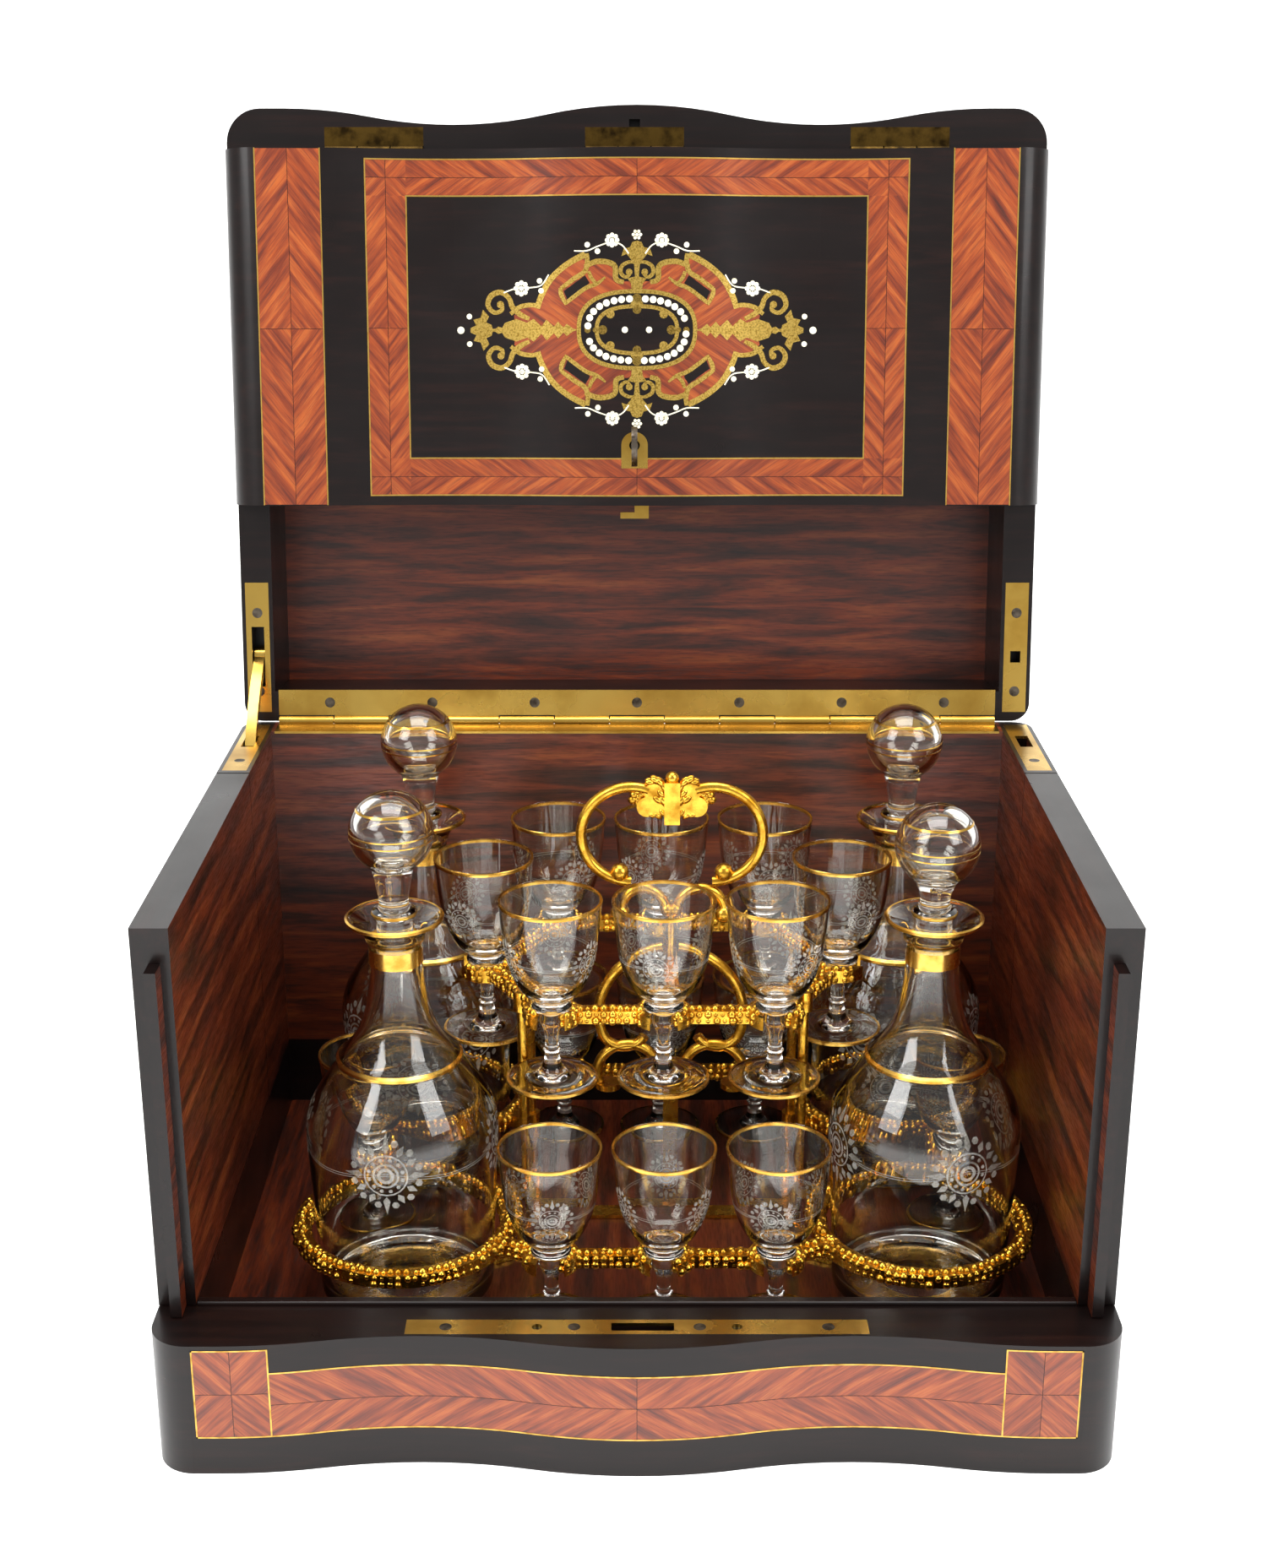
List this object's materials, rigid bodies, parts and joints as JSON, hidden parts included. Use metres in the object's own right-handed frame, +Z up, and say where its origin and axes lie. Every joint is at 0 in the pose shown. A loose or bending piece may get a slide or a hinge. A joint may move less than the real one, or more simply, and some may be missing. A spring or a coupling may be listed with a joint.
{
  "type": "liqueur cabinet",
  "caption": "Serpentine liqueur cabinet with a folding lid, front and side wings, and a lift-out gilt rack of decanters and cordial glasses.",
  "frame": {"origin": "centre of the base's underside", "axes": "+Z up, +Y towards the back where the lid is hinged, +X to the right seen from the front"},
  "size_m": [0.3444, 0.3479, 0.4525],
  "materials": {
    "ebonised_wood": "french polished, black",
    "rosewood": "satin polished",
    "brass": "satin",
    "gilt_bronze": "cast and gilded",
    "steel": "aged",
    "clear_glass": "clear, engraved and gilded"
  },
  "bodies": {
    "cabinet": {"base_box": "ebonised_wood", "base_floor": "rosewood", "front_bead": "ebonised_wood", "strike_plate": "brass", "body_screws": "steel", "back_board": "rosewood", "corner_block_left": "ebonised_wood", "corner_block_right": "ebonised_wood", "wing_hinge_left": "brass", "wing_hinge_right": "brass", "body_plates": "brass", "lid_hinge_fixed": "brass"},
    "left_wing": {"wing_left": "ebonised_wood", "wing_leaf_left": "brass"},
    "right_wing": {"wing_right": "ebonised_wood", "wing_leaf_right": "brass"},
    "lid": {"lid_box": "ebonised_wood", "lid_lining": "rosewood", "lid_plates": "brass", "lid_screws": "steel", "lid_hinge_leaf": "brass", "panel_hinge_fixed": "brass", "stay_pin": "steel"},
    "panel": {"front_panel": "ebonised_wood", "escutcheon": "brass", "panel_hinge_leaf": "brass", "lock_case": "steel"},
    "hook": {"lock_hook": "steel"},
    "key": {"key": "steel"},
    "stay": {"stay_arm": "brass"},
    "rack": {"lower_gallery": "gilt_bronze", "upper_gallery": "gilt_bronze", "rack_foot_frame": "gilt_bronze", "rack_posts": "gilt_bronze", "scroll_frame": "gilt_bronze", "rack_handle": "gilt_bronze"},
    "decanter_front_left": {"decanter_front_left": "clear_glass"},
    "stopper_front_left": {"stopper_front_left": "clear_glass"},
    "decanter_front_right": {"decanter_front_right": "clear_glass"},
    "stopper_front_right": {"stopper_front_right": "clear_glass"},
    "decanter_back_left": {"decanter_back_left": "clear_glass"},
    "stopper_back_left": {"stopper_back_left": "clear_glass"},
    "decanter_back_right": {"decanter_back_right": "clear_glass"},
    "stopper_back_right": {"stopper_back_right": "clear_glass"},
    "glass_lower_front_left": {"glass_lower_front_left": "clear_glass"},
    "glass_lower_back_left": {"glass_lower_back_left": "clear_glass"},
    "glass_lower_front_middle": {"glass_lower_front_middle": "clear_glass"},
    "glass_lower_back_middle": {"glass_lower_back_middle": "clear_glass"},
    "glass_lower_front_right": {"glass_lower_front_right": "clear_glass"},
    "glass_lower_back_right": {"glass_lower_back_right": "clear_glass"},
    "glass_lower_side_left": {"glass_lower_side_left": "clear_glass"},
    "glass_lower_side_right": {"glass_lower_side_right": "clear_glass"},
    "glass_upper_front_left": {"glass_upper_front_left": "clear_glass"},
    "glass_upper_back_left": {"glass_upper_back_left": "clear_glass"},
    "glass_upper_front_middle": {"glass_upper_front_middle": "clear_glass"},
    "glass_upper_back_middle": {"glass_upper_back_middle": "clear_glass"},
    "glass_upper_front_right": {"glass_upper_front_right": "clear_glass"},
    "glass_upper_back_right": {"glass_upper_back_right": "clear_glass"},
    "glass_upper_side_left": {"glass_upper_side_left": "clear_glass"},
    "glass_upper_side_right": {"glass_upper_side_right": "clear_glass"}
  },
  "joints": [
    {"name": "lid_hinge", "type": "hinge", "parent": "cabinet", "child": "lid", "pos_m": [0, 0.12875, 0.198], "axis": [-1, 0, 0], "range_deg": [-81, 0]},
    {"name": "panel_fold", "type": "hinge", "parent": "lid", "child": "panel", "pos_m": [0, 0.16535, 0.43443], "axis": [1, 0, 0], "range_deg": [-90.1, 0]},
    {"name": "stay_fold", "type": "hinge", "parent": "lid", "child": "stay", "pos_m": [-0.16335, 0.13896, 0.22475], "axis": [1, 0, 0], "range_deg": [-44.21, 0]},
    {"name": "left_wing_fold", "type": "hinge", "parent": "cabinet", "child": "left_wing", "pos_m": [-0.17, 0.0595, 0.052], "axis": [0, 0, -1], "range_deg": [0, 95]},
    {"name": "right_wing_fold", "type": "hinge", "parent": "cabinet", "child": "right_wing", "pos_m": [0.17, 0.0595, 0.052], "axis": [0, 0, 1], "range_deg": [0, 95]},
    {"name": "rack_lift", "type": "slide", "parent": "cabinet", "child": "rack", "axis": [0, 0, 1], "range_m": [0, 0.18]},
    {"name": "decanter_front_left_lift", "type": "slide", "parent": "rack", "child": "decanter_front_left", "axis": [0, 0, 1], "range_m": [0, 0.04]},
    {"name": "stopper_front_left_lift", "type": "slide", "parent": "decanter_front_left", "child": "stopper_front_left", "axis": [0, 0, 1], "range_m": [0, 0.03]},
    {"name": "decanter_front_right_lift", "type": "slide", "parent": "rack", "child": "decanter_front_right", "axis": [0, 0, 1], "range_m": [0, 0.04]},
    {"name": "stopper_front_right_lift", "type": "slide", "parent": "decanter_front_right", "child": "stopper_front_right", "axis": [0, 0, 1], "range_m": [0, 0.03]},
    {"name": "decanter_back_left_lift", "type": "slide", "parent": "rack", "child": "decanter_back_left", "axis": [0, 0, 1], "range_m": [0, 0.04]},
    {"name": "stopper_back_left_lift", "type": "slide", "parent": "decanter_back_left", "child": "stopper_back_left", "axis": [0, 0, 1], "range_m": [0, 0.03]},
    {"name": "decanter_back_right_lift", "type": "slide", "parent": "rack", "child": "decanter_back_right", "axis": [0, 0, 1], "range_m": [0, 0.04]},
    {"name": "stopper_back_right_lift", "type": "slide", "parent": "decanter_back_right", "child": "stopper_back_right", "axis": [0, 0, 1], "range_m": [0, 0.03]},
    {"name": "glass_lower_front_left_slide", "type": "slide", "parent": "rack", "child": "glass_lower_front_left", "axis": [0, -1, 0], "range_m": [0, 0.014]},
    {"name": "glass_lower_back_left_slide", "type": "slide", "parent": "rack", "child": "glass_lower_back_left", "axis": [0, 1, 0], "range_m": [0, 0.005]},
    {"name": "glass_lower_front_middle_slide", "type": "slide", "parent": "rack", "child": "glass_lower_front_middle", "axis": [0, -1, 0], "range_m": [0, 0.014]},
    {"name": "glass_lower_back_middle_slide", "type": "slide", "parent": "rack", "child": "glass_lower_back_middle", "axis": [0, 1, 0], "range_m": [0, 0.005]},
    {"name": "glass_lower_front_right_slide", "type": "slide", "parent": "rack", "child": "glass_lower_front_right", "axis": [0, -1, 0], "range_m": [0, 0.014]},
    {"name": "glass_lower_back_right_slide", "type": "slide", "parent": "rack", "child": "glass_lower_back_right", "axis": [0, 1, 0], "range_m": [0, 0.005]},
    {"name": "glass_lower_side_left_slide", "type": "slide", "parent": "rack", "child": "glass_lower_side_left", "axis": [-1, 0, 0], "range_m": [0, 0.008]},
    {"name": "glass_lower_side_right_slide", "type": "slide", "parent": "rack", "child": "glass_lower_side_right", "axis": [1, 0, 0], "range_m": [0, 0.008]},
    {"name": "glass_upper_front_left_slide", "type": "slide", "parent": "rack", "child": "glass_upper_front_left", "axis": [0, -1, 0], "range_m": [0, 0.014]},
    {"name": "glass_upper_back_left_slide", "type": "slide", "parent": "rack", "child": "glass_upper_back_left", "axis": [0, 1, 0], "range_m": [0, 0.014]},
    {"name": "glass_upper_front_middle_slide", "type": "slide", "parent": "rack", "child": "glass_upper_front_middle", "axis": [0, -1, 0], "range_m": [0, 0.014]},
    {"name": "glass_upper_back_middle_slide", "type": "slide", "parent": "rack", "child": "glass_upper_back_middle", "axis": [0, 1, 0], "range_m": [0, 0.014]},
    {"name": "glass_upper_front_right_slide", "type": "slide", "parent": "rack", "child": "glass_upper_front_right", "axis": [0, -1, 0], "range_m": [0, 0.014]},
    {"name": "glass_upper_back_right_slide", "type": "slide", "parent": "rack", "child": "glass_upper_back_right", "axis": [0, 1, 0], "range_m": [0, 0.014]},
    {"name": "glass_upper_side_left_slide", "type": "slide", "parent": "rack", "child": "glass_upper_side_left", "axis": [-1, 0, 0], "range_m": [0, 0.012]},
    {"name": "glass_upper_side_right_slide", "type": "slide", "parent": "rack", "child": "glass_upper_side_right", "axis": [1, 0, 0], "range_m": [0, 0.012]},
    {"name": "key_turn", "type": "hinge", "parent": "panel", "child": "key", "pos_m": [-0.001, 0.12888, 0.31814], "axis": [0, -0.9882, 0.153], "range_deg": [0, 90.1]},
    {"name": "hook_slide", "type": "slide", "parent": "panel", "child": "hook", "axis": [-1, 0, 0], "range_m": [0, 0.006]}
  ],
  "couplings": [
    {"joint": "panel_fold", "follows": "lid_hinge", "ratio": 1.1111},
    {"joint": "stay_fold", "follows": "lid_hinge", "ratio": 0.54453},
    {"joint": "key_turn", "follows": "hook_slide", "rad_per_m": 261.8}
  ]
}
